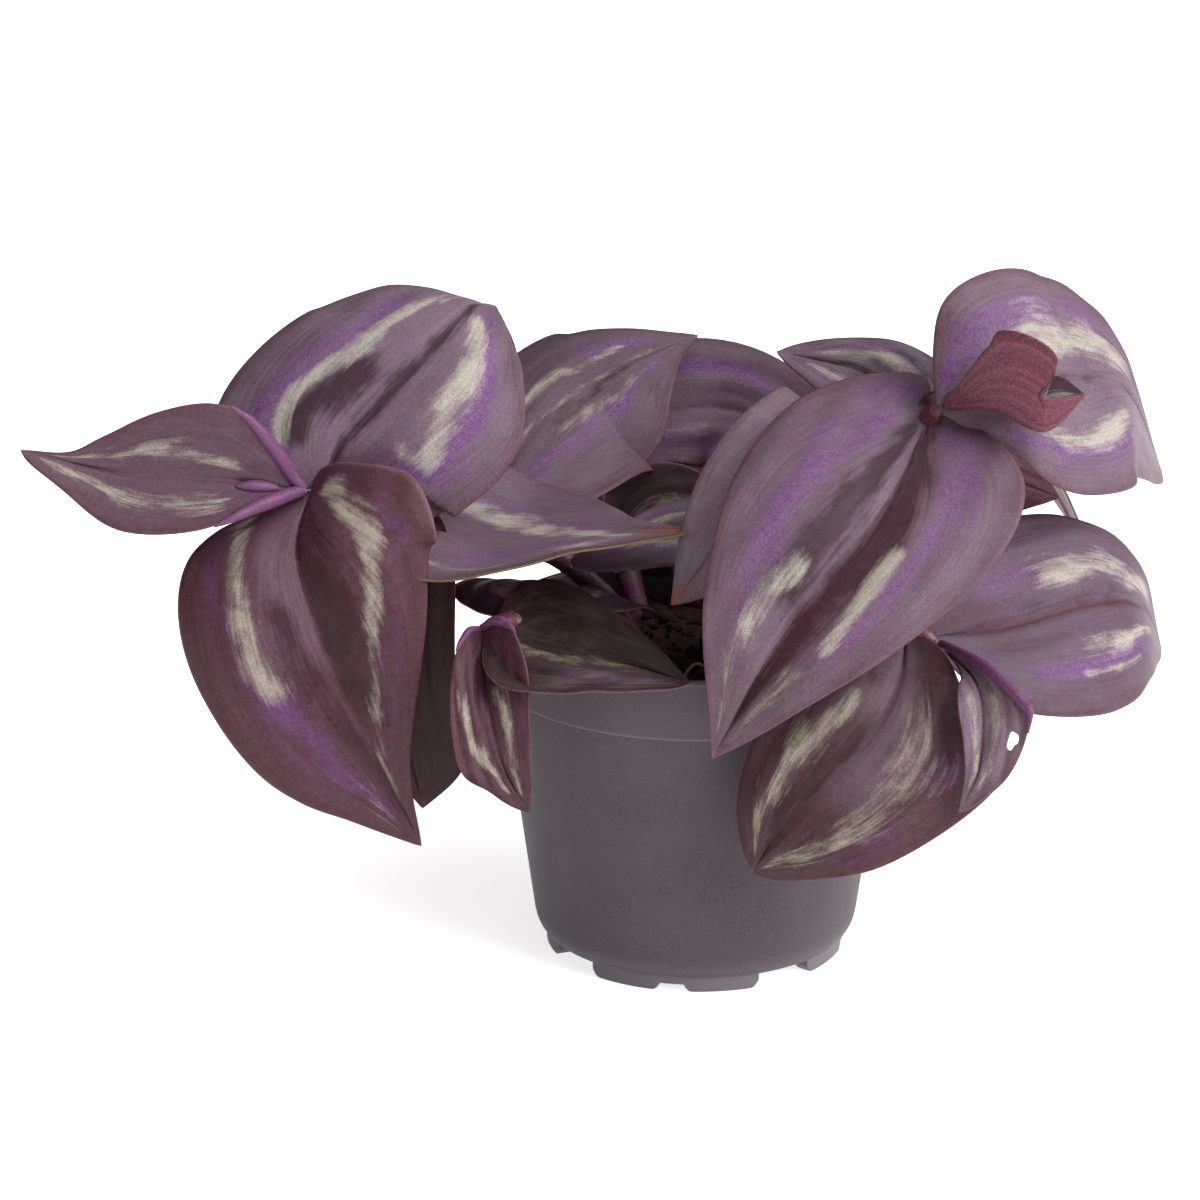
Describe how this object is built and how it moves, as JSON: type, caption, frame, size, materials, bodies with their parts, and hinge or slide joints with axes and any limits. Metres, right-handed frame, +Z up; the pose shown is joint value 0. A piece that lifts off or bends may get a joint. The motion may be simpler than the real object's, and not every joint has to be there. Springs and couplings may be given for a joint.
{
  "type": "potted plant",
  "caption": "Small potted tradescantia: broad purple and silver striped leaves on short trailing stems in a round plastic nursery pot filled with soil.",
  "frame": {"origin": "centre of the bounding box at its base, level with the surface that the pot stands on", "axes": "+Z is up, -Y is the side seen in the picture, +X is to the right there"},
  "size_m": [0.166, 0.11, 0.1015],
  "materials": {
    "pot_plastic": "moulded matte plastic",
    "soil": "loose moist crumb",
    "stem": "smooth fleshy skin",
    "leaf": "satin leaf surface with coloured bands",
    "root": "dry fibre"
  },
  "bodies": {
    "root": {"pot": "pot_plastic", "soil": "soil", "stem_left": "stem", "stem_rim": "stem", "stem_upper": "stem", "stem_lower": "stem", "stem_back_left": "stem", "stem_back_right": "stem", "root_fibre": "root", "bud_left": "leaf", "leaf_left_upper": "leaf", "leaf_left_hanging": "leaf", "leaf_left_young": "leaf", "leaf_behind_left": "leaf", "leaf_centre_upper": "leaf", "leaf_centre_flat": "leaf", "leaf_centre_back": "leaf", "leaf_centre_dark": "leaf", "leaf_centre_under": "leaf", "leaf_edge_on": "leaf", "leaf_rim_young": "leaf", "leaf_on_rim": "leaf", "leaf_right_large": "leaf", "leaf_right_strip": "leaf", "leaf_right_upper": "leaf", "leaf_right_young": "leaf", "leaf_right_behind": "leaf", "leaf_right_turned": "leaf", "leaf_side_upper": "leaf", "leaf_side_hanging": "leaf", "leaf_side_young": "leaf", "leaf_back_left_outer": "leaf", "leaf_back_left_hanging": "leaf", "leaf_back_left_side": "leaf", "leaf_back_left_young": "leaf", "leaf_back_right_outer": "leaf", "leaf_back_right_hanging": "leaf", "leaf_back_right_side": "leaf", "leaf_back_right_young": "leaf", "leaf_back_centre": "leaf"}
  },
  "joints": []
}
